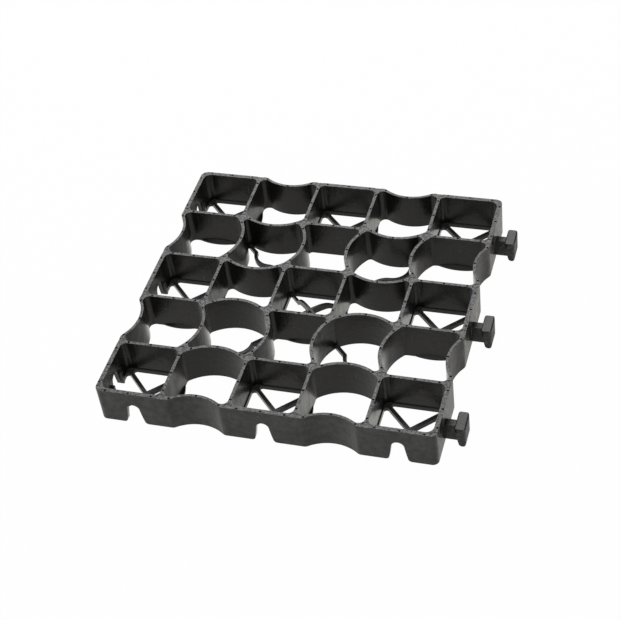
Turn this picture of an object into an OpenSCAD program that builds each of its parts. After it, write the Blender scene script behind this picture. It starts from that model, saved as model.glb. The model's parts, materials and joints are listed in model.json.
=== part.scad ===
// Permeable paving grid: one square moulded tile of open cells that is laid on
// a gravel bed and filled with grit or soil. Five rows of five cells stand
// between upright walls. Walls that bound a square cell are straight. The
// others bow towards the middle of the tile. Three T-shaped tabs on the right
// side drop into the three slots on the left side of the next tile.
// X runs towards the tab side and Y away from the notched front. Z is up.

/* [Tile] */
// Length and width of the tile over its outer walls, without the tabs
tile_w = 333; // [328:1:338]
// Height of the walls
tile_h = 39.5; // [38:0.5:45]
// Radius of the four upright corners of the tile
corner_r = 6; // [4:0.5:8]

/* [Walls] */
// Spacing of the wall lines that bound the square cells
square_pitch = 64.5; // [63:0.5:66]
// Thickness of the straight outer walls
outer_t = 4.4; // [3.6:0.2:5]
// Thickness of the inner walls
inner_t = 3.2; // [2.6:0.2:3.8]

/* [Bowed walls] */
// Radius of a bowed inner wall, at the middle of its thickness
bow_r = 48.2; // [46:0.2:52]
// How far a bowed inner wall swings off its wall line
bow_rise = 8.8; // [7.4:0.2:9.6]
// Radius of a bowed outer wall, at the middle of its thickness
edge_bow_r = 43; // [41:0.5:46]
// How far a bowed outer wall swings in from its wall line
edge_bow_rise = 8; // [7:0.25:9]
// Thickness of a bowed outer wall
edge_bow_t = 2.8; // [2.4:0.2:3.4]
// Radius of the blend from a bowed outer wall to the flat outer face
edge_blend_r = 7; // [4:0.5:9]

/* [Corner fillets] */
// Radius in the corners between inner walls where a wall is straight
inner_fillet_r = 6; // [4:0.5:7]
// Radius in the cell corners behind the four corners of the tile
corner_fillet_r = 7.5; // [6:0.5:9.5]
// Radius in the other corners that touch an outer wall
outer_fillet_r = 6; // [5:0.5:8]
// Radius in the corners where a bowed wall meets another wall
bow_fillet_r = 4.5; // [4:0.5:6.5]
// Radius in the narrow corners where two walls bow towards each other
acute_fillet_r = 4; // [3.5:0.25:5]

/* [Floor ribs] */
// Height of the flat ribs on the underside
rib_h = 4.5; // [3.5:0.5:6]
// Width of the straight crossed ribs
cross_rib_w = 4; // [3:0.25:5]
// Radius where a crossed rib runs into its corner
rib_root_r = 2.5; // [1.5:0.5:4]
// Width of the curved ribs in the bowed cells
curved_rib_w = 3.6; // [2.8:0.2:4.4]
// Radius of the two quarter bends of a curved rib
curved_rib_r = 18; // [15:0.5:20]
// How far the ledge at the foot of a square cell stands out from the wall
ledge_w = 1; // [0.5:0.1:1.6]

/* [Centre arch] */
// Width of the arched ribs in the centre cell
arch_w = 2.6; // [2:0.2:3.4]
// Height of the arch at its crown
arch_crown_h = 14; // [12.5:0.5:16]
// Clear height under the crown of the arch
arch_clear_h = 6.5; // [5.5:0.25:7.5]
// Radius of the flat crown
arch_crown_r = 100; // [80:5:130]
// Half length of the flat crown along the rib
arch_crown_reach = 11; // [9:0.5:12]
// Radius of the shoulders of the arch
arch_shoulder_r = 25; // [24:0.5:27]
// Radius of the flat stretch on the underside
arch_soffit_r = 150; // [120:5:180]
// Half length of the flat stretch on the underside
arch_soffit_reach = 16; // [14:0.5:17]
// Radius of the two ends of the underside
arch_spring_r = 13; // [11:0.5:14]

/* [Foot collars] */
// Radius of the round edge of a collar, seen from above
collar_r = 60; // [55:1:66]
// How far a collar stands out from the middle of its wall
collar_reach = 4; // [2.6:0.2:4.4]
// The same for the four corner cells of the tile, which have wider collars
corner_collar_reach = 5.4; // [4.6:0.2:6]
// Height of the upright rim of a collar
collar_rim_h = 2; // [1:0.25:3]
// Height at which the sloping top of a collar meets its wall
collar_h = 4; // [3.5:0.25:6]

/* [Notches and slots] */
// Distance of the outer notches and slots from the middle of the tile
bell_offset = 129.6; // [127:0.2:131]
// Height of a notch or slot
bell_h = 24.6; // [23:0.2:28]
// Radius of its round head
bell_head_r = 6.3; // [5.5:0.1:7.5]
// Its width at the foot, before the flare
bell_foot_w = 19.2; // [16:0.2:21]
// Radius of its gently curved sides
bell_side_r = 200; // [150:10:300]
// Radius of its flared lower edges
bell_flare_r = 4; // [2.5:0.25:6]
// How far the slots and tabs lie in front of the middles of their sides
side_shift = 1; // [0:0.25:2]

/* [Lips of the slots] */
// Space between the two lips beside a slot
lip_gap = 17; // [16:0.5:19]
// How far the lips stand in from the wall
lip_reach = 2.75; // [2:0.25:4.5]
// Thickness of the lips
lip_t = 3; // [2:0.25:4]
// Height of the lower end of the lips above the ground
lip_foot_z = 2; // [1:0.5:5]
// Height of the upper end of the lips above the ground
lip_h = 18; // [14:0.5:21]

/* [Tabs] */
// Distance of the two outer tabs from the middle of the tile
tab_offset = 128.6; // [127:0.2:131]
// Reach of a tab from the outer face of the tile to its far face
tab_reach = 20.4; // [18:0.2:22]
// Width of the head of a tab, along the side of the tile
tab_head_w = 24; // [20:0.2:26]
// Thickness of the head at its top
tab_head_t = 10.2; // [8.6:0.2:11]
// Thickness of the head where its round bottom begins
tab_foot_t = 6.75; // [5.5:0.25:8]
// Height of the top of the head above the ground
tab_h = 24; // [21:0.5:26]
// Height of the lowest point of the head above the ground
tab_foot_z = 0.25; // [0.25:0.25:0.75]
// Radius of the four upright corners of the head
tab_corner_r = 4; // [2:0.25:4.25]
// Radius of the rounded upper edge of the head
tab_rim_r = 1.5; // [1:0.1:1.8]
// How far each end of the head leans in from its top to the ground
tab_end_lean = 1.6; // [0.8:0.2:2.4]
// Width of the stem
stem_w = 8; // [6:0.25:9]
// Height of the underside of the stem above the ground
stem_foot_z = 1; // [1:0.5:6]
// How far the top of the stem lies below the top of the head
stem_drop = 4; // [2:0.5:6]

/* [Marks on the wall tops] */
// Diameter of the round mark on each wall junction
node_mark_d = 8; // [6:0.25:9]
// Depth of the round mark on each wall junction
node_mark_depth = 0.4; // [0.2:0.1:1]
// Diameter of the small pits along the walls
pit_d = 2.2; // [1.6:0.1:2.4]
// Depth of the small pits along the walls
pit_depth = 1; // [0.5:0.1:2]
// Distance of the outer pits of each wall from the wall junctions
pit_inset = 9; // [7:0.25:11]
// How far the pits of an outer wall lie outside the middle of the wall
pit_shift = 0.7; // [0.2:0.1:0.9]

/* [Hidden] */

charcoal = [0.21, 0.21, 0.22];
arc_fn = 120;
small_fn = 48;
pit_fn = 16;
over = 1; // overlap that keeps cuts clean
bite = 0.01; // how far a round runs into the faces beside it, so that they cross

last = 4; // number of the last row and column, counted from zero
wide_pitch = (tile_w - outer_t - 3 * square_pitch) / 2;
half_w = tile_w / 2;
edge_line = (tile_w - outer_t) / 2;
inner_face = half_w - outer_t;
centre_shift = -tab_reach / 2; // puts the origin below the middle of the whole

// Odd rows and columns are the wide ones, and their walls are bowed
function is_wide(k) = k % 2 == 1;
function pitch(k) = is_wide(k) ? wide_pitch : square_pitch;
function line_at(k) = k == 0 ? -edge_line : line_at(k - 1) + pitch(k - 1);
function mid(k) = line_at(k) + pitch(k) / 2;
function is_edge(line) = line == 0 || line == last + 1;
function is_corner(k) = k == 0 || k == last;

// One side of a cell: whether it is bowed, whether it bows into the cell, and
// the measures of its arc. side is -1 for the lower wall and 1 for the upper.
function bows_up(line) = line <= last / 2;
function side_line(k, side) = side < 0 ? k : k + 1;
function bows_in(k, side) = bows_up(side_line(k, side)) == (side < 0);
function side_t(k, side) = is_edge(side_line(k, side)) ? outer_t : inner_t;
function arc_r(k, side) = is_edge(side_line(k, side)) ? edge_bow_r : bow_r;
function arc_rise(k, side) = is_edge(side_line(k, side)) ? edge_bow_rise : bow_rise;
function arc_t(k, side) = is_edge(side_line(k, side)) ? edge_bow_t : inner_t;

// Distance of the arc's centre from the cell's centre, towards the side
function arc_centre(k, side) = pitch(k) / 2
    + (bows_in(k, side) ? 1 : -1) * (arc_r(k, side) - arc_rise(k, side));

// Radius of the face that the cell sees, grown by a fillet radius
function face_r(k, side, r) = bows_in(k, side)
    ? arc_r(k, side) + arc_t(k, side) / 2 + r
    : arc_r(k, side) - arc_t(k, side) / 2 - r;

// Distance from the cell's centre to the flat face of a side
function flat_face(k, side) = pitch(k) / 2 - side_t(k, side) / 2;

// Where a circle of radius big about centre c on one axis crosses the line
// that lies at height across: on the near side of c for a wall that bows in
function cross_at(c, big, across, near) =
    c + (near ? -1 : 1) * sqrt(big * big - across * across);

// The point where a circle of radius ra about (cu, 0) meets a circle of radius
// rb about (0, cv). The one nearer to the cell's centre, or the farther one.
function circles_meet(cu, ra, cv, rb, nearer) =
    let (d = sqrt(cu * cu + cv * cv),
         along = (ra * ra - rb * rb + d * d) / (2 * d),
         off = sqrt(ra * ra - along * along),
         foot = [cu - along * cu / d, along * cv / d],
         p = foot + off * [cv, cu] / d,
         q = foot - off * [cv, cu] / d)
    (p[0] + p[1] < q[0] + q[1]) == nearer ? p : q;

// Centre of the fillet in one corner of cell (i, j), seen from the cell's
// centre with both axes pointing into that corner
function fillet_centre(i, j, sx, sy, r) =
    let (bow_x = is_wide(j),
         bow_y = is_wide(i),
         ra = face_r(i, sx, r),
         rb = face_r(j, sy, r),
         ca = arc_centre(i, sx),
         cb = arc_centre(j, sy),
         u = flat_face(i, sx) - r,
         v = flat_face(j, sy) - r)
    bow_x && bow_y ? circles_meet(ca, ra, cb, rb, bows_in(i, sx) && bows_in(j, sy))
    : bow_x ? [cross_at(ca, ra, v, bows_in(i, sx)), v]
    : bow_y ? [u, cross_at(cb, rb, u, bows_in(j, sy))]
    : [u, v];

// Radius of the fillet in one corner of cell (i, j)
function fillet_r(i, j, sx, sy) =
    is_edge(side_line(i, sx)) && is_edge(side_line(j, sy)) ? corner_fillet_r
    : is_edge(side_line(i, sx)) || is_edge(side_line(j, sy)) ? outer_fillet_r
    : !is_wide(i) && !is_wide(j) ? inner_fillet_r
    : is_wide(i) && is_wide(j) && bows_in(i, sx) && bows_in(j, sy) ? acute_fillet_r
    : bow_fillet_r;

// The point on the middle of a bowed wall that lies beyond point p
function on_arc(c, p, r) = c + (p - c) / norm(p - c) * r;

// A corner filled in up to a round fillet: centre, radius, then the points of
// the corner beyond the fillet
module spandrel(centre, r, beyond) {
    difference() {
        polygon(concat([centre], beyond));
        translate(centre)
            circle(r = r + bite, $fn = small_fn);
    }
}

// Fills one corner of a cell. sx and sy are the signs of the corner.
module corner_fill(i, j, sx, sy) {
    r = fillet_r(i, j, sx, sy);
    p = fillet_centre(i, j, sx, sy, r);
    corner = [pitch(i), pitch(j)] / 2;
    on_x = is_wide(j)
        ? on_arc([arc_centre(i, sx), 0], p, arc_r(i, sx))
        : [corner[0], p[1]];
    on_y = is_wide(i)
        ? on_arc([0, arc_centre(j, sy)], p, arc_r(j, sy))
        : [p[0], corner[1]];
    signs = [[sx, 0], [0, sy]];
    spandrel(signs * p, r, [signs * on_x, signs * corner, signs * on_y]);
}

// Circle of the bowed face of one side, about the cell's centre
module bow_disc(k, side, turn) {
    rotate(turn)
        translate([side * arc_centre(k, side), 0])
            circle(r = face_r(k, side, 0), $fn = arc_fn);
}

// How far the open part of a cell may reach towards a side
function open_reach(k, side, bowed) = bowed && !bows_in(k, side)
    ? pitch(k) / 2 + arc_rise(k, side)
    : flat_face(k, side);

// Box that holds the open part of a cell, before its walls bow into it
module cell_box(i, j) {
    x0 = -open_reach(i, -1, is_wide(j));
    x1 = open_reach(i, 1, is_wide(j));
    y0 = -open_reach(j, -1, is_wide(i));
    y1 = open_reach(j, 1, is_wide(i));
    translate([x0, y0])
        square([x1 - x0, y1 - y0]);
}

// Cuts the cell's box by the sides that bow away from it
module bow_away(k, turn) {
    out = [for (side = [-1, 1]) if (!bows_in(k, side)) side];
    if (len(out) == 0) {
        children();
    } else {
        intersection() {
            children();
            bow_disc(k, out[0], turn);
        }
    }
}

// Open part of cell (i, j) in plan, about the cell's centre
module cell_hole(i, j) {
    difference() {
        if (is_wide(i) && is_wide(j)) {
            bow_away(i, 0) bow_away(j, 90) cell_box(i, j);
        } else if (is_wide(j)) {
            bow_away(i, 0) cell_box(i, j);
        } else if (is_wide(i)) {
            bow_away(j, 90) cell_box(i, j);
        } else {
            cell_box(i, j);
        }
        for (side = [-1, 1]) {
            if (is_wide(j) && bows_in(i, side))
                bow_disc(i, side, 0);
            if (is_wide(i) && bows_in(j, side))
                bow_disc(j, side, 90);
        }
        for (sx = [-1, 1], sy = [-1, 1])
            corner_fill(i, j, sx, sy);
    }
}

// The bay that a bowed outer wall leaves in the outline, at the right side
edge_arc_x = edge_line - edge_bow_rise + edge_bow_r;
edge_face_r = edge_bow_r - edge_bow_t / 2;
edge_blend_x = half_w - edge_blend_r;
edge_blend_y = sqrt(pow(edge_face_r + edge_blend_r, 2) - pow(edge_arc_x - edge_blend_x, 2));

module edge_bay() {
    translate([edge_arc_x, 0])
        circle(r = edge_face_r, $fn = arc_fn);
    for (s = [-1, 1]) {
        blend = [edge_blend_x, s * edge_blend_y];
        arc_mid = [edge_arc_x, 0];
        foot = on_arc(arc_mid, blend, edge_face_r - over);
        spandrel(blend, edge_blend_r, [
            [half_w + over, blend[1]],
            [half_w + over, foot[1]],
            foot
        ]);
    }
}

// Outline of the whole tile in plan
module tile_outline() {
    difference() {
        square(tile_w, center = true);
        for (turn = [0:90:270])
            rotate(turn) {
                c = half_w - corner_r;
                spandrel([c, c], corner_r, [
                    [half_w + over, c],
                    [half_w + over, half_w + over],
                    [c, half_w + over]
                ]);
                for (s = [-1, 1])
                    translate([0, s * mid(3)])
                        edge_bay();
            }
    }
}

// All walls, with the upright fillets where they meet
module walls() {
    linear_extrude(tile_h)
        difference() {
            tile_outline();
            for (i = [0:last], j = [0:last])
                translate([mid(i), mid(j)])
                    cell_hole(i, j);
        }
}

// Foot of a square cell: the ledge round its walls
module ledge(i, j) {
    side_x = pitch(i) / 2;
    side_y = pitch(j) / 2;
    linear_extrude(rib_h)
        difference() {
            square([2 * side_x, 2 * side_y], center = true);
            difference() {
                x0 = -flat_face(i, -1) + ledge_w;
                x1 = flat_face(i, 1) - ledge_w;
                y0 = -flat_face(j, -1) + ledge_w;
                y1 = flat_face(j, 1) - ledge_w;
                translate([x0, y0])
                    square([x1 - x0, y1 - y0]);
                for (sx = [-1, 1], sy = [-1, 1]) {
                    r = fillet_r(i, j, sx, sy);
                    p = fillet_centre(i, j, sx, sy, r);
                    signs = [[sx, 0], [0, sy]];
                    spandrel(signs * p, r - ledge_w, [
                        signs * [side_x, p[1]],
                        signs * [side_x, side_y],
                        signs * [p[0], side_y]
                    ]);
                }
            }
        }
}

// The round roots of a crossed rib in one corner. The corner is where the two
// ledges would meet, and both axes point from it into the cell.
module rib_root() {
    far = rib_root_r + sqrt(2) * (cross_rib_w / 2 + rib_root_r);
    c = [far, rib_root_r];
    on_rib = c + [-1, 1] / sqrt(2) * (rib_root_r + over / 2);
    for (flip = [0, 1])
        mirror(flip * [1, -1])
            spandrel(c, rib_root_r, [[far, -over], [-over, -over], on_rib]);
}

// Crossed straight ribs of a square cell
module cross_ribs(i, j) {
    reach = norm([pitch(i), pitch(j)]) / 2;
    linear_extrude(rib_h) {
        for (turn = [45, 135])
            rotate(turn)
                square([2 * reach, cross_rib_w], center = true);
        for (sx = [-1, 1], sy = [-1, 1])
            translate([sx * (flat_face(i, sx) - ledge_w), sy * (flat_face(j, sy) - ledge_w)])
                mirror([sx > 0 ? 1 : 0, 0])
                    mirror([0, sy > 0 ? 1 : 0])
                        rib_root();
    }
}

// Outline under a flat curve that turns down at both ends: its height, the
// radius and half length of the flat, and the radius of the ends
module arch_outline(h, flat_r, reach, end_r) {
    lean = asin(reach / flat_r);
    end_x = reach - end_r * sin(lean);
    end_z = h - flat_r + (flat_r - end_r) * cos(lean);
    for (s = [-1, 1])
        translate([s * end_x, end_z])
            circle(r = end_r + bite, $fn = arc_fn);
    intersection() {
        translate([0, h - flat_r])
            circle(r = flat_r, $fn = 3 * arc_fn);
        translate([-reach, -over])
            square([2 * reach, h + 2 * over]);
    }
}

// Where the turned-down end of such an outline passes height z
function arch_foot(h, flat_r, reach, end_r, z) =
    let (lean = asin(reach / flat_r),
         end_z = h - flat_r + (flat_r - end_r) * cos(lean))
    reach - end_r * sin(lean) + sqrt(end_r * end_r - pow(z - end_z, 2));

// Crossed ribs of the centre cell, which rise in an arch over the middle. Each
// foot of the arch stands on the ground and runs on as a flat rib.
module arched_ribs() {
    reach = square_pitch / sqrt(2);
    inside = arch_foot(arch_clear_h, arch_soffit_r, arch_soffit_reach, arch_spring_r, 0);
    outside = arch_foot(arch_crown_h, arch_crown_r, arch_crown_reach, arch_shoulder_r, rib_h);
    flat_from = (inside + outside) / 2;
    for (turn = [45, 135])
        rotate([90, 0, turn])
            linear_extrude(arch_w, center = true)
                difference() {
                    intersection() {
                        arch_outline(arch_crown_h, arch_crown_r, arch_crown_reach, arch_shoulder_r);
                        translate([-reach, 0])
                            square([2 * reach, arch_crown_h + over]);
                    }
                    arch_outline(arch_clear_h, arch_soffit_r, arch_soffit_reach, arch_spring_r);
                }
    linear_extrude(rib_h)
        for (turn = [45:90:315])
            rotate(turn)
                translate([flat_from, -arch_w / 2])
                    square([reach - flat_from, arch_w]);
}

// Flat rib that crosses a bowed cell in an S. Handed 1 runs up to the right.
module curved_rib(handed) {
    node_at = wide_pitch / 2;
    run = (node_at - curved_rib_r) * sqrt(2);
    linear_extrude(rib_h)
        mirror([handed > 0 ? 0 : 1, 0])
            for (s = [-1, 1])
                rotate(s > 0 ? 0 : 180) {
                    translate([curved_rib_r, curved_rib_r]) {
                        circle(r = curved_rib_w / 2 + bite, $fn = small_fn);
                        rotate(45)
                            translate([0, -curved_rib_w / 2])
                                square([run, curved_rib_w]);
                    }
                    intersection() {
                        translate([0, curved_rib_r])
                            difference() {
                                circle(r = curved_rib_r + curved_rib_w / 2, $fn = arc_fn);
                                circle(r = curved_rib_r - curved_rib_w / 2, $fn = arc_fn);
                            }
                        translate([0, -curved_rib_w])
                            square(curved_rib_r + curved_rib_w);
                    }
                }
}

// Foot collar on the outside of a square cell's right wall: a slice of a flat
// cone that stands on a low upright rim
module collar(out) {
    wall = square_pitch / 2;
    face = wall + inner_t / 2;
    run = out - inner_t / 2;
    edge_mid = wall + out - collar_r;
    half_chord = sqrt(pow(collar_r, 2) - pow(face - edge_mid, 2));
    intersection() {
        translate([edge_mid, 0, 0]) {
            cylinder(r = collar_r, h = collar_rim_h, $fn = 2 * arc_fn);
            translate([0, 0, collar_rim_h])
                cylinder(r1 = collar_r, r2 = collar_r - run - bite, h = collar_h - collar_rim_h,
                    $fn = 2 * arc_fn);
        }
        translate([wall, -half_chord - over, 0])
            cube([out + over, 2 * (half_chord + over), tile_h]);
    }
}

// A collar stands on every wall between a square cell and a wide one, apart
// from the front wall of the middle cell in the back row
function has_collar(i, j, turn) =
    let (di = [1, 0, -1, 0][turn / 90],
         dj = [0, 1, 0, -1][turn / 90],
         inside = i + di >= 0 && i + di <= last && j + dj >= 0 && j + dj <= last,
         left_out = i == 2 && j == last && turn == 270)
    inside && !left_out;

// Everything that fills the cells at the foot of the tile
module floor_parts() {
    for (i = [0:last], j = [0:last])
        translate([mid(i), mid(j), 0])
            if (is_wide(i) && is_wide(j)) {
                curved_rib(i == j ? 1 : -1);
            } else if (!is_wide(i) && !is_wide(j)) {
                ledge(i, j);
                if (i == 2 && j == 2)
                    arched_ribs();
                else
                    cross_ribs(i, j);
                for (turn = [0:90:270])
                    if (has_collar(i, j, turn))
                        rotate(turn)
                            collar(is_corner(i) && is_corner(j) ? corner_collar_reach : collar_reach);
            }
}

// Shape of the notches in the front wall and of the slots in the left wall, in
// the plane of the wall: a bell with a round head and flared lower edges
module bell_shape() {
    head_z = bell_h - bell_head_r;
    foot = bell_foot_w / 2;
    // Centre of the side's arc, from its two ends
    half_side = norm([foot - bell_head_r, head_z]) / 2;
    lean = atan2(foot - bell_head_r, head_z);
    off = sqrt(pow(bell_side_r, 2) - pow(half_side, 2));
    side_mid = [(foot + bell_head_r) / 2 + off * cos(lean), head_z / 2 + off * sin(lean)];
    // Centre of the round lower edge, inside the side's arc and on the ground
    flare_reach = sqrt(pow(bell_side_r - bell_flare_r, 2) - pow(side_mid[1] - bell_flare_r, 2));
    flare_mid = [side_mid[0] - flare_reach, bell_flare_r];
    flare_end = on_arc(side_mid, flare_mid, bell_side_r + over);
    translate([0, head_z])
        circle(r = bell_head_r + bite, $fn = small_fn);
    difference() {
        polygon([
            [-foot, -over],
            [foot, -over],
            [foot, 0],
            [bell_head_r, head_z],
            [-bell_head_r, head_z],
            [-foot, 0]
        ]);
        for (s = [-1, 1])
            translate([s * side_mid[0], side_mid[1]])
                circle(r = bell_side_r, $fn = 3 * arc_fn);
    }
    for (s = [-1, 1])
        mirror([s > 0 ? 0 : 1, 0])
            spandrel(flare_mid, bell_flare_r, [
                [flare_mid[0], -over],
                [0, -over],
                [0, flare_end[1]],
                flare_end
            ]);
}

module front_notches() {
    for (x = [-1, 0, 1] * bell_offset)
        translate([x, -inner_face + over, 0])
            rotate([90, 0, 0])
                linear_extrude(outer_t + 2 * over)
                    bell_shape();
}

// The cut of a slot runs on through the lips beside it
module side_slots() {
    for (y = [-1, 0, 1] * bell_offset)
        translate([-half_w - over, y - side_shift, 0])
            rotate([90, 0, 90])
                linear_extrude(outer_t + lip_reach + 2 * over)
                    bell_shape();
}

// Upright lips that stiffen the wall beside each slot
module slot_lips() {
    for (y = [-1, 0, 1] * bell_offset, s = [-1, 1]) {
        lip_mid = y - side_shift + s * (lip_gap + lip_t) / 2;
        translate([-inner_face - over, lip_mid - lip_t / 2, lip_foot_z])
            cube([lip_reach + over, lip_t, lip_h - lip_foot_z]);
    }
}

// Cuts the two upper edges of the head of a tab round, seen along the edges
module round_rim(side) {
    rim_z = tab_h - tab_rim_r;
    difference() {
        children();
        for (s = [-1, 1])
            spandrel([s * (side - tab_rim_r), rim_z], tab_rim_r, [
                [s * (side + 2 * over), rim_z],
                [s * (side + 2 * over), tab_h + 2 * over],
                [s * (side - tab_rim_r), tab_h + 2 * over]
            ]);
    }
}

// Head of a tab in three outlines: from above, along the side of the tile, and
// across it. The far face is upright, the near one leans to the round foot.
module head_plan() {
    side = tab_head_t / 2;
    end = tab_head_w / 2;
    difference() {
        square([tab_head_t, tab_head_w], center = true);
        for (sx = [-1, 1], sy = [-1, 1])
            spandrel([sx * (side - tab_corner_r), sy * (end - tab_corner_r)], tab_corner_r, [
                [sx * (side + over), sy * (end - tab_corner_r)],
                [sx * (side + over), sy * (end + over)],
                [sx * (side - tab_corner_r), sy * (end + over)]
            ]);
    }
}

module head_along() {
    side = tab_head_t / 2;
    foot_r = tab_foot_t / 2;
    foot = [side - foot_r, tab_foot_z + foot_r];
    lean = (tab_head_t - tab_foot_t) / (tab_h - tab_rim_r - foot[1]);
    round_rim(side)
        polygon([
            [-side - lean * (tab_rim_r + over), tab_h + over],
            [side - tab_foot_t, foot[1]],
            [side + over, foot[1]],
            [side + over, tab_h + over]
        ]);
    translate(foot)
        circle(r = foot_r + bite, $fn = small_fn);
}

module head_across() {
    end = tab_head_w / 2;
    lean = tab_end_lean / (tab_h - tab_rim_r);
    top = end + lean * (tab_rim_r + over);
    bottom = end - tab_end_lean - lean * over;
    round_rim(end)
        polygon([[-bottom, -over], [bottom, -over], [top, tab_h + over], [-top, tab_h + over]]);
}

// T-shaped tab. It stands at the outer face of the tile and points along X.
module tab() {
    translate([-outer_t / 2, -stem_w / 2, stem_foot_z])
        cube([tab_reach - tab_foot_t / 2 + outer_t / 2, stem_w, tab_h - stem_drop - stem_foot_z]);
    translate([tab_reach - tab_head_t / 2, 0, 0])
        intersection() {
            linear_extrude(tab_h)
                head_plan();
            rotate([90, 0, 0])
                linear_extrude(tab_head_w + 2 * over, center = true)
                    head_along();
            rotate([90, 0, 90])
                linear_extrude(tab_head_t + 2 * over, center = true)
                    head_across();
        }
}

module tabs() {
    for (y = [-1, 0, 1] * tab_offset)
        translate([half_w, y - side_shift, 0])
            tab();
}

// Round marks on the wall junctions
module node_marks() {
    for (i = [0:last + 1], j = [0:last + 1])
        translate([line_at(i), line_at(j), tile_h - node_mark_depth])
            cylinder(d = node_mark_d, h = node_mark_depth + over, $fn = small_fn);
}

// Three pits along each wall of one wall line. The line runs along X, and the
// walls of the wide columns are bowed by the given radius and rise.
module pit_row(radius, rise, way, shift) {
    for (k = [0:last]) {
        outer = pitch(k) / 2 - pit_inset;
        for (u = [-outer, 0, outer]) {
            off = is_wide(k) ? way * (rise - radius + sqrt(radius * radius - u * u)) : -way * shift;
            translate([mid(k) + u, off, tile_h - pit_depth])
                cylinder(d = pit_d, h = pit_depth + over, $fn = pit_fn);
        }
    }
}

// The pits of all walls
module wall_pits() {
    for (line = [0:last + 1], turn = [0, 1]) {
        way = bows_up(line) ? 1 : -1;
        mirror(turn * [1, -1])
            translate([0, line_at(line)])
                pit_row(is_edge(line) ? edge_bow_r : bow_r,
                    is_edge(line) ? edge_bow_rise : bow_rise,
                    way, is_edge(line) ? pit_shift : 0);
    }
}

// The whole tile in one moulding
module paving_grid() {
    color(charcoal)
        translate([centre_shift, 0, 0])
            difference() {
                union() {
                    walls();
                    floor_parts();
                    slot_lips();
                    tabs();
                }
                front_notches();
                side_slots();
                node_marks();
                wall_pits();
            }
}

paving_grid();
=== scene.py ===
# %% [markdown]
# A permeable paving grid is a tile of open cells, moulded in one shot from recycled
# plastic. It lies on gravel and is filled with grit, so nobody polishes it: the tops
# of its walls are scuffed, its outer faces are rubbed by handling and stacking, and
# small pale specks sit everywhere.
#
# The shape comes from the packed model and isn't touched here. What Blender adds is
# a finish, a white table, soft light and a camera. Every length is in metres.

import json
import math

import bpy
from mathutils import Matrix, Vector

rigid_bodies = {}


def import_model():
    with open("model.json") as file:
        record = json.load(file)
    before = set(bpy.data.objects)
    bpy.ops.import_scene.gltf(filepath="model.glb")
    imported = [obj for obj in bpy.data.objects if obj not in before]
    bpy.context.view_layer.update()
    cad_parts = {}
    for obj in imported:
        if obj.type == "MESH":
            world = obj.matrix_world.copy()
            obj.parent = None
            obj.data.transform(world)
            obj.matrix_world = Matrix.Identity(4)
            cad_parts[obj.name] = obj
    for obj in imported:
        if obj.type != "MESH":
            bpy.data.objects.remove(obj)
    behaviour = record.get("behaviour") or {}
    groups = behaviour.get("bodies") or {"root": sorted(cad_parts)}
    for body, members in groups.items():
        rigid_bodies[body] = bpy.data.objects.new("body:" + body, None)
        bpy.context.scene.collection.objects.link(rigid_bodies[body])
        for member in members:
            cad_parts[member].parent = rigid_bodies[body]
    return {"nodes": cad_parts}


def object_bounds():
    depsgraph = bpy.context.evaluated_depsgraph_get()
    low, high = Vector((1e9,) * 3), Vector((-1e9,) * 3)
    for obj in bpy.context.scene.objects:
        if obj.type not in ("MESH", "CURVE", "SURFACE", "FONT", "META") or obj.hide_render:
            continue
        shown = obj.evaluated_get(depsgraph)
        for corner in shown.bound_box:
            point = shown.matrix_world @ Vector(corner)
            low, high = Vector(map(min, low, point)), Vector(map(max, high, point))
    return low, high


startup = list(bpy.data.objects)
print("startup objects removed:", [old.name for old in startup])
for old in startup:
    bpy.data.objects.remove(old)

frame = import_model()
tile = frame["nodes"]["paving_grid"]
cad_low, cad_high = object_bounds()
print("tile reaches from", tuple(cad_low), "to", tuple(cad_high))

# %% [markdown]
# The camera is placed as a photographer would describe it: how far it is turned
# from straight ahead, how steeply it looks down, and how much it leans. Turning an
# identity matrix about Z, then X, then Z again gives these three angles in that
# order. A Track To constraint could aim it too, but it would hide the lean. The long
# lens and the distance of about a metre and a half give the gentle perspective of a
# product picture.
#
# Blender wants a lens in millimetres, and the picture gives it in pixels. The lens
# is to the sensor's width as the focal length in pixels is to the picture's width.

# %% Camera
FRAME_PIXELS = 620
FOCAL_PIXELS = 1509.06
SENSOR_MM = 36.0

eye = Vector((0.38696, -1.03186, 1.06326))
heading = math.radians(21.0751)
looking_down = math.radians(43.5374)
lean = math.radians(-8.0827)

camera = bpy.data.objects.new("camera", bpy.data.cameras.new("camera"))
bpy.context.scene.collection.objects.link(camera)
camera.matrix_world = (
    Matrix.Translation(eye)
    @ Matrix.Rotation(heading, 4, "Z")
    @ Matrix.Rotation(math.pi / 2 - looking_down, 4, "X")
    @ Matrix.Rotation(lean, 4, "Z")
)
camera.data.sensor_width = SENSOR_MM
camera.data.lens = FOCAL_PIXELS * SENSOR_MM / FRAME_PIXELS
camera.data.clip_start = 0.01
camera.data.dof.use_dof = False
bpy.context.scene.camera = camera
print("lens", round(camera.data.lens, 2), "mm, eye", tuple(eye))

# %% [markdown]
# Blender's materials are graphs of nodes. Written out link by link they are hard to
# read, so two small helpers come first. `Sheet` holds one material's graph, and its
# method `add` makes any node from its type, its settings and its inputs. `Value`
# wraps the output of a node, so that an ordinary Python expression such as
# `1 - grain * 0.3` builds the Math nodes for it. The nodes could also be placed by
# hand in the Shader Editor, and the graph that comes out here can be opened there.

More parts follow.
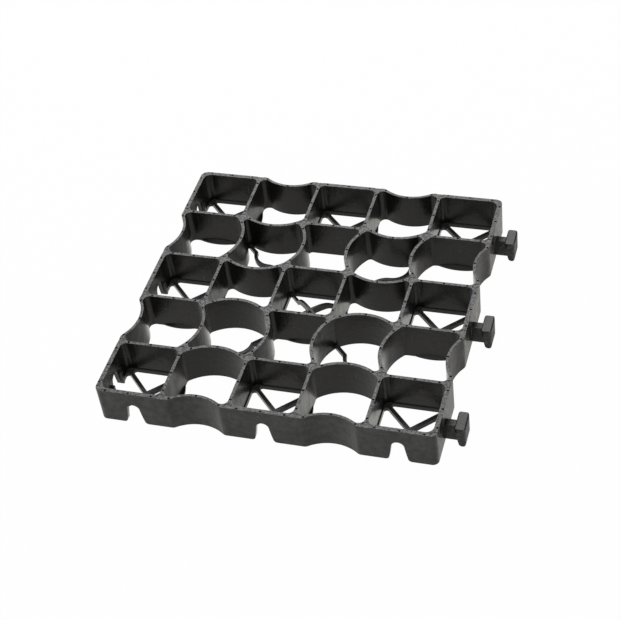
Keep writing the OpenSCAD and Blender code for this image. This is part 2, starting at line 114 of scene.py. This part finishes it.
# %% Helper for numbers in a material
class Value:
    """A number on its way through a material. Arithmetic on it adds Math nodes."""

    def __init__(self, sheet, socket):
        self.sheet, self.socket = sheet, socket

    def _math(self, operation, *numbers):
        """The Math node that does the operation on the numbers, in their order."""
        return self.sheet.add("ShaderNodeMath", {"operation": operation}, dict(enumerate(numbers)))

    def __add__(self, other):
        return self._math("ADD", self, other)

    def __radd__(self, other):
        return self._math("ADD", other, self)

    def __sub__(self, other):
        return self._math("SUBTRACT", self, other)

    def __rsub__(self, other):
        return self._math("SUBTRACT", other, self)

    def __mul__(self, other):
        return self._math("MULTIPLY", self, other)

    def __rmul__(self, other):
        return self._math("MULTIPLY", other, self)

    def at_most(self, other):
        """The smaller of the two."""
        return self._math("MINIMUM", self, other)

    def at_least(self, other):
        """The larger of the two."""
        return self._math("MAXIMUM", self, other)

    def size(self):
        """The number without its sign."""
        return self._math("ABSOLUTE", self)

    def ramp(self, low, high):
        """0 up to low, 1 from high on. In between, with t the share of the way from
        low to high, it is t times t times (3 minus twice t), which starts and ends
        level."""
        return self.sheet.add(
            "ShaderNodeMapRange",
            {"interpolation_type": "SMOOTHSTEP", "clamp": True},
            {"Value": self, "From Min": low, "From Max": high, "To Min": 0.0, "To Max": 1.0},
        )


print("beside arithmetic a Value has", [name for name in vars(Value) if name[0] != "_"])

# %% Helper for a whole graph
class Sheet:
    """The node graph of one material, or of the world if one is given."""

    def __init__(self, name, owner=None):
        self.owner = owner or bpy.data.materials.new(name)
        self.owner.use_nodes = True
        self.tree = self.owner.node_tree
        self.tree.nodes.clear()

    def add(self, kind, settings=None, inputs=None, output=0):
        """One node. Its settings come first, then its inputs, each under the name or
        the number of its socket, and what comes back is the output that is asked for."""
        made = self.tree.nodes.new(kind)
        for key, value in (settings or {}).items():
            setattr(made, key, value)
        for key, value in (inputs or {}).items():
            if isinstance(value, Value):
                self.tree.links.new(value.socket, made.inputs[key])
            else:
                made.inputs[key].default_value = value
        return Value(self, made.outputs[output]) if made.outputs else None

    def split(self, vector):
        """The X, Y and Z of a vector, as three numbers."""
        first = self.add("ShaderNodeSeparateXYZ", inputs={"Vector": vector})
        return [Value(self, part) for part in first.socket.node.outputs]

    def blend(self, share, first, second):
        """Colour that goes from first to second as share goes from 0 to 1. A Mix node
        has sockets for every kind of data. Inputs 6 and 7 and output 2 are colours."""
        return self.add("ShaderNodeMix", {"data_type": "RGBA"}, {0: share, 6: first, 7: second}, 2)

    def noise(self, scales, detail=3.0, roughness=0.55):
        """Cloudy pattern from 0 to 1. It reads the object's own coordinates, each
        multiplied by its scale, so a scale is the number of spots in a metre."""
        place = self.add("ShaderNodeTexCoord", output="Object")
        stretched = self.add("ShaderNodeMapping", inputs={"Vector": place, "Scale": scales})
        return self.add(
            "ShaderNodeTexNoise", {"noise_dimensions": "3D"},
            {"Vector": stretched, "Scale": 1.0, "Detail": detail, "Roughness": roughness},
        )


def grey(level, warmth=0.0):
    """Linear colour of a neutral level. Its red is higher and its blue lower by the
    share that warmth gives."""
    return (level * (1 + warmth), level, level * (1 - warmth), 1.0)


print("a grey of 0.02 with a warmth of 0.1 is", grey(0.02, 0.1))

# %% [markdown]
# The plastic is a black regrind: polypropylene or polyethylene from many sources,
# with enough soot in it to come out as one charcoal. Its colour sends back only one
# or two parts in a hundred of the light, so most of what shows on the sides is sheen:
# the white table mirrored in a half-matt skin, weak where a wall is seen squarely and
# strong where it is seen edge on.
#
# A flat colour would look like a drawing, and a picture wrapped round the tile would
# need its hundreds of faces laid out flat. So the finish is worked out from the place
# of each point and from the way its face looks, which has no seams. It starts with
# masks, which are 1 where something holds and 0 elsewhere. The Normal output of
# Texture Coordinate gives a face's direction in the object's own axes, so a mask
# stays where it is whatever the camera does.

# %% Plastic: which way a face looks
plastic = Sheet("recycled_plastic_finish")
along_x, along_y, height = plastic.split(plastic.add("ShaderNodeTexCoord", output="Object"))
facing_x, facing_y, facing_up = plastic.split(plastic.add("ShaderNodeTexCoord", output="Normal"))

is_top = facing_up.ramp(0.85, 0.98)
is_side = 1 - facing_up.size().ramp(0.3, 0.7)
looks_right = facing_x.ramp(0.75, 0.97)
faces_x = is_side * facing_x.size().ramp(0.75, 0.97)
print("facing masks take", len(plastic.tree.nodes), "nodes")

# %% [markdown]
# Feet, wheels and other tiles rub the very tops of the walls. Small round pits sit in
# those tops, and nothing rubs their floors, which are painted black as painted shade.
# Each could be a material slot of its own, but the height alone tells them apart: the
# worn level is the last half millimetre, and the floors of the pits lie about a
# millimetre down.

# %% Plastic: worn tops and the floors of the pits
MM = 0.001
TOP = cad_high[2]

is_worn = is_top * height.ramp(TOP - 0.8 * MM, TOP - 0.5 * MM)
below_worn = 1 - height.ramp(TOP - 0.8 * MM, TOP - 0.7 * MM)
is_pit = is_top * height.ramp(TOP - 1.2 * MM, TOP - 1.1 * MM) * below_worn
print("worn level from", round(TOP - 0.5 * MM, 5), "to", round(TOP, 5))

# %% [markdown]
# The outer faces are painted paler than the walls inside: painted light for the open table, which
# lights them more than the walls in the cells.
# They aren't flat: between the square cells they swing in by 8 millimetres. So a face
# counts as outer when it lies within 10 millimetres of a side and also looks away
# from the middle of the tile.
#
# The tabs stick out on the right, so the middle of the tile is half their reach to
# the left of the middle of the whole part.

# %% Plastic: tabs and outer faces
HALF_TILE = cad_high[1]
TAB_REACH = 2 * (cad_high[0] - HALF_TILE)
OUTER_FACE = cad_high[0] - TAB_REACH

is_tab = along_x.ramp(OUTER_FACE + 2 * MM, OUTER_FACE + 4 * MM)
from_middle = along_x + TAB_REACH / 2


def looks_outward(place, facing):
    """1 close to a side, on faces that look away from the middle. There the distance
    from the middle and the facing have the same sign, so their product is positive."""
    close = place.size().ramp(HALF_TILE - 10.0 * MM, HALF_TILE - 9.2 * MM)
    return close * (place * facing).ramp(0.04, 0.09)


outward_x = looks_outward(from_middle, facing_x)
outward_y = looks_outward(along_y, facing_y)
is_outer = outward_x.at_least(outward_y) * is_side * (1 - is_tab)
beside_tabs = is_outer * looks_right * from_middle.ramp(HALF_TILE - 3 * MM, HALF_TILE - 2 * MM)
print("tabs reach", round(TAB_REACH, 4), "from the outer face at", round(OUTER_FACE, 4))

# %% [markdown]
# The melt isn't quite even and the mould isn't quite smooth. Each trace gets a noise
# at its own scale, from clouds three centimetres wide to a grain below a millimetre.
# The steel was ground along the draw, so some patterns are stretched upright, by a
# lower scale along Z than along X and Y. A high, narrow ramp on a noise leaves only
# its rare peaks, which is how the scratches and the specks are made.

# %% Plastic: patterns
clouds = plastic.noise((38, 38, 30), detail=4.0)
waves = plastic.noise((150, 150, 150), detail=2.0)
blotches = plastic.noise((330, 330, 330), detail=4.0, roughness=0.65)
fine_blotches = plastic.noise((760, 760, 760), detail=2.0, roughness=0.6)
grain = plastic.noise((1300, 1300, 1300), detail=2.0)
streaks = plastic.noise((620, 620, 26), detail=3.0, roughness=0.6)
rub_patches = plastic.noise((75, 75, 55), detail=3.0, roughness=0.6)
rub_streaks = plastic.noise((230, 230, 45), detail=3.0, roughness=0.65)

scratches = plastic.noise((700, 700, 60), detail=0.0).ramp(0.83, 0.88) * is_side
specks = plastic.noise((520, 520, 520), detail=0.0).ramp(0.84, 0.88)
rubbed_places = (rub_patches * 0.6 + rub_streaks * 0.4).ramp(0.48, 0.58)
print("with the patterns it has", len(plastic.tree.nodes), "nodes")

# %% [markdown]
# The colour is built up like paint, from the body out, each layer blended over the
# last by its own mask. The body is soot black with faint brown clouds. Upright faces
# carry dull streaks, and outer faces a paler, mottled grey that is painted light.

# %% Plastic: body, streaks and outer faces painted paler as light
SOOT_BLACK = grey(0.005, 0.05)
SOOT_BROWN = grey(0.009, 0.10)
STREAK_BROWN = grey(0.018, 0.14)
# The two greys of the outer faces are painted light, not a colour of the plastic.
OUTER_LIGHT_DARK = grey(0.018)
OUTER_LIGHT_PALE = grey(0.054)

body = plastic.blend(clouds.ramp(0.3, 0.7), SOOT_BLACK, SOOT_BROWN)
streaked = is_side * (streaks * 0.7 + rub_streaks * 0.3).ramp(0.42, 0.72) * 0.6
sides = plastic.blend(streaked, body, STREAK_BROWN)
# Outer faces painted paler: painted light for the open table that lights them more.
outer_painted_light = plastic.blend((clouds * 0.4 + waves * 0.6).ramp(0.35, 0.65), OUTER_LIGHT_DARK, OUTER_LIGHT_PALE)
outer_light_share = is_outer * (1 - outward_x * 0.45)
outside = plastic.blend(outer_light_share, sides, outer_painted_light)
print("handled faces go from", OUTER_LIGHT_DARK[1], "to", OUTER_LIGHT_PALE[1])

# %% [markdown]
# The wall beside the tabs has had the hardest life. Pale marks cover it in patches,
# partly rubs and partly painted sheen of the white table, and brown grime fills the
# streaks between them. They grow towards the foot, where the paleness is painted light
# from the table below. Other faces that look along X show only a hint of the marks.
# The tabs themselves are nicked all over their sides.

# %% Plastic: rub marks with painted sheen, grime and nicked tabs
GRIME_BROWN = grey(0.010, 0.35)
# The pale of these marks is partly rubbed plastic and partly painted sheen of the table.
RUB_AND_LIGHT_PALE = grey(0.45, 0.05)
NICK_GREY = grey(0.070)

in_grimy_streaks = 1 - (rub_patches * 0.3 + rub_streaks * 0.7).ramp(0.40, 0.47)
grimy = plastic.blend(beside_tabs * in_grimy_streaks * 0.8, outside, GRIME_BROWN)

# Towards the foot the pale marks grow: painted light from the white table below.
foot_floor_light = 1 - height.ramp(4 * MM, 26 * MM)
rub_and_light_share = faces_x * (0.05 + is_outer * 0.07) + beside_tabs * (0.16 + foot_floor_light * 0.26)
rubbed_and_lit = plastic.blend(rubbed_places * rub_and_light_share * (1 - is_tab), grimy, RUB_AND_LIGHT_PALE)

nicks = is_tab * is_side * blotches.ramp(0.50, 0.60) * 0.8
nicked = plastic.blend(nicks, rubbed_and_lit, NICK_GREY)
print("rub marks fade out", round(26 * MM, 3), "m above the ground")

# %% [markdown]
# Dust settles on whatever looks up: the ribs, the foot collars and the tops of the
# tabs. Up-facing faces higher than about 6 to 10 millimetres, such as the arch in the
# middle cell, keep less of it, apart from the tabs: that darkening is painted shade.
# The worn level is scuffed instead, a salt and pepper of pale plastic and dark skin.
# Scratches and specks come over everything, and last of all the floors of the pits,
# painted black as painted shade.

# %% Plastic: dust, painted shade, scuffs, scratches and pits
DUST_GREY = grey(0.060)
SCUFF_DARK = grey(0.020)
SCUFF_PALE = grey(0.190)
SCRATCH_PALE = grey(0.26, 0.04)
PIT_SHADE_BLACK = grey(0.005)

# Faces above 6 to 10 millimetres, apart from the tabs, lose most of the dust: painted shade.
high_painted_shade = height.ramp(6 * MM, 10 * MM) * (1 - is_tab) * 0.7
dust_and_shade = plastic.blend(is_top * (0.5 + blotches * 0.8) * (1 - high_painted_shade), nicked, DUST_GREY)
scuffs = (blotches * 0.55 + fine_blotches * 0.45).ramp(0.45, 0.55)
scuffed = plastic.blend(scuffs, SCUFF_DARK, SCUFF_PALE)
tops = plastic.blend(is_worn, dust_and_shade, scuffed)
marked = plastic.blend((scratches * 0.28 + specks * 0.4).at_most(1.0), tops, SCRATCH_PALE)
# The pit floors are painted black: painted shade in the recesses.
base_colour = plastic.blend(is_pit, marked, PIT_SHADE_BLACK)
print("scuffed tops go from", SCUFF_DARK[1], "to", SCUFF_PALE[1])

# %% [markdown]
# Roughness says how far the sheen spreads. The moulded skin is half matt, and tops,
# nicked tabs and rub marks are duller.
#
# The relief is a height map for the Bump node, which changes the shading and not the
# mesh. Real displacement would need millions of triangles for marks a tenth of a
# millimetre deep. Its waves break up what the walls mirror, as the sink and flow
# marks of a real moulding do. A Bevel node under it rounds the hard edges by less
# than half a millimetre, as a mould leaves them, where a Bevel modifier would change
# the packed shape.

# %% Plastic: roughness and relief
SKIN_ROUGHNESS = 0.31
RELIEF_DEPTH = 0.1 * MM
EDGE_RADIUS = 0.4 * MM

roughness = SKIN_ROUGHNESS + is_top * 0.14 + is_worn * (blotches * 0.14 - 0.04)
roughness = roughness + is_tab * is_side * 0.16
roughness = roughness + (faces_x * 0.3 + beside_tabs) * rubbed_places * 0.4

even_relief = grain * 0.10 + waves * 3.2 + blotches * (0.9 + is_worn * 0.5 + is_tab)
rub_relief = rub_streaks * (1.8 + faces_x * 0.4 + beside_tabs * 2.2)
relief = even_relief + is_side * (streaks * 0.5 + rub_relief)

rounded = plastic.add("ShaderNodeBevel", {"samples": 4}, {"Radius": EDGE_RADIUS})
surface = plastic.add(
    "ShaderNodeBump",
    inputs={"Strength": 1.0, "Distance": RELIEF_DEPTH, "Height": relief, "Normal": rounded},
)
print("relief is", RELIEF_DEPTH, "m deep, edges are rounded by", EDGE_RADIUS, "m")

# %% [markdown]
# Where a wall bows away from the camera, the real one ends in a bright rim, because a
# half-matt skin mirrors more clearly the flatter the light passes over it. A rough
# sheen alone loses that, so a thin coat adds it. Its weight comes from Layer Weight,
# whose Facing output is 0 where a face is seen squarely and goes up to 1 edge on.
# Outer faces are too rubbed for it, apart from the polished patches beside the tabs,
# and the tabs have none.
#
# The sheen's strength is set by IOR, the refractive index. Plastics have about 1.5.
# A little less stands for a skin that is dusty.

# %% Plastic: gloss and the finished shader
edge_on = plastic.add("ShaderNodeLayerWeight", inputs={"Blend": 0.5}, output="Facing")
rim_gloss = edge_on.ramp(0.60, 0.90) * (1 - is_outer)
gloss = is_side * (1 - is_tab) * (rim_gloss + beside_tabs * rubbed_places * 0.6)

shader = plastic.add("ShaderNodeBsdfPrincipled", inputs={
    "Base Color": base_colour,
    "Roughness": roughness,
    "Normal": surface,
    "IOR": 1.40,
    "Coat Weight": gloss,
    "Coat Roughness": 0.16,
})
plastic.add("ShaderNodeOutputMaterial", inputs={"Surface": shader})

tile.data.materials.clear()
tile.data.materials.append(plastic.owner)
print("plastic has", len(plastic.tree.nodes), "nodes")

# %% [markdown]
# The table is a large white square just under the tile. To the camera it has to be
# paper white. Brighter lamps could do that, but they would wash out the tile too, so
# its material asks Light Path what kind of ray has arrived instead. A camera
# ray sees almost plain white, with a breath of the lit surface left in, which keeps
# the tile's shadow. A ray that comes by way of a mirror or of glass sees a darker
# and slightly warmer white: that is what the walls of the cells mirror, and it sets
# how bright their sheen is. Light that bounces off the table finds an ordinary matt
# white.

# %% White table
TABLE_HALF = 12.0
TABLE_GAP = 0.1 * MM
SEEN_WHITE = 0.985
MIRRORED_WHITE = 0.72
PAPER = (1.0, 1.0, 1.0, 1.0)
WARM_PAPER = (1.0, 0.99, 0.94, 1.0)
MATT_PAPER = (0.86, 0.86, 0.83, 1.0)

corners = [(-1, -1), (1, -1), (1, 1), (-1, 1)]
mesh = bpy.data.meshes.new("table")
mesh.from_pydata(
    [(x * TABLE_HALF, y * TABLE_HALF, cad_low[2] - TABLE_GAP) for x, y in corners],
    [], [(0, 1, 2, 3)],
)
table = bpy.data.objects.new("table", mesh)
bpy.context.scene.collection.objects.link(table)
print("table reaches", TABLE_HALF, "m each way")


def ray_kinds(sheet):
    """Whether a ray comes straight from the camera, and whether it comes by way of
    a mirror or of glass, each as 1 or 0."""
    seen, glossy, through = [
        sheet.add("ShaderNodeLightPath", output=name)
        for name in ("Is Camera Ray", "Is Glossy Ray", "Is Transmission Ray")
    ]
    return seen, glossy + through


white = Sheet("white_table")
seen, mirrored = ray_kinds(white)
shown = (seen * SEEN_WHITE + mirrored * MIRRORED_WHITE).at_most(1.0)
matt = white.add("ShaderNodeBsdfDiffuse", inputs={"Color": MATT_PAPER})
glow_colour = white.blend(seen, WARM_PAPER, PAPER)
glow = white.add("ShaderNodeEmission", inputs={"Color": glow_colour, "Strength": 1.0})
mixed = white.add("ShaderNodeMixShader", inputs={0: shown, 1: matt, 2: glow})
white.add("ShaderNodeOutputMaterial", inputs={"Surface": mixed})
table.data.materials.append(white.owner)
print("seen white", SEEN_WHITE, "and mirrored white", MIRRORED_WHITE)

# %% [markdown]
# The light is a studio's. A soft box behind and above the tile draws its sheen along
# the tops of the walls, which makes them paler than their sides. A much larger and
# dimmer one stands in front, for the near wall. Its size matters more than its power:
# a small lamp would glint on every rounded edge. A surrounding picture of a studio
# could light the tile as well, but two lamps say plainly where the light comes from.

# %% Soft light
def soft_box(name, place, size, power, aim=(0, 0, 0.02)):
    """A square lamp at a place, turned to face the aim."""
    lamp = bpy.data.lights.new(name, "AREA")
    lamp.shape, lamp.size, lamp.energy = "SQUARE", size, power
    holder = bpy.data.objects.new(name, lamp)
    bpy.context.scene.collection.objects.link(holder)
    turn = (Vector(aim) - Vector(place)).to_track_quat("-Z", "Y").to_matrix().to_4x4()
    holder.matrix_world = Matrix.Translation(place) @ turn
    print(name, size, "m wide,", power, "W")


soft_box("box_behind", (-0.5, 1.5, 1.6), 1.2, 32)
soft_box("box_front", (-0.2, -1.7, 2.2), 3.6, 30)

# %% [markdown]
# The room all round fills the shadows. It is dim, so that the tile keeps its charcoal
# and the cells stay dark inside, but white to the camera, in case a low view looks
# past the table. The world's material makes the same choice by the kind of ray.

# %% Room
ROOM_LIGHT = 0.12
ROOM_MIRRORED = 0.10

bpy.context.scene.world = bpy.data.worlds.new("room")
room = Sheet("room", bpy.context.scene.world)
seen, mirrored = ray_kinds(room)
strength = ROOM_LIGHT + seen * (1 - ROOM_LIGHT) + mirrored * ROOM_MIRRORED
air = room.add("ShaderNodeBackground", inputs={"Color": PAPER, "Strength": strength})
room.add("ShaderNodeOutputWorld", inputs={"Surface": air})

bpy.context.scene.view_settings.view_transform = "Standard"
print("room light", ROOM_LIGHT, "and in mirrors", round(ROOM_LIGHT + ROOM_MIRRORED, 2))

# %% [markdown]
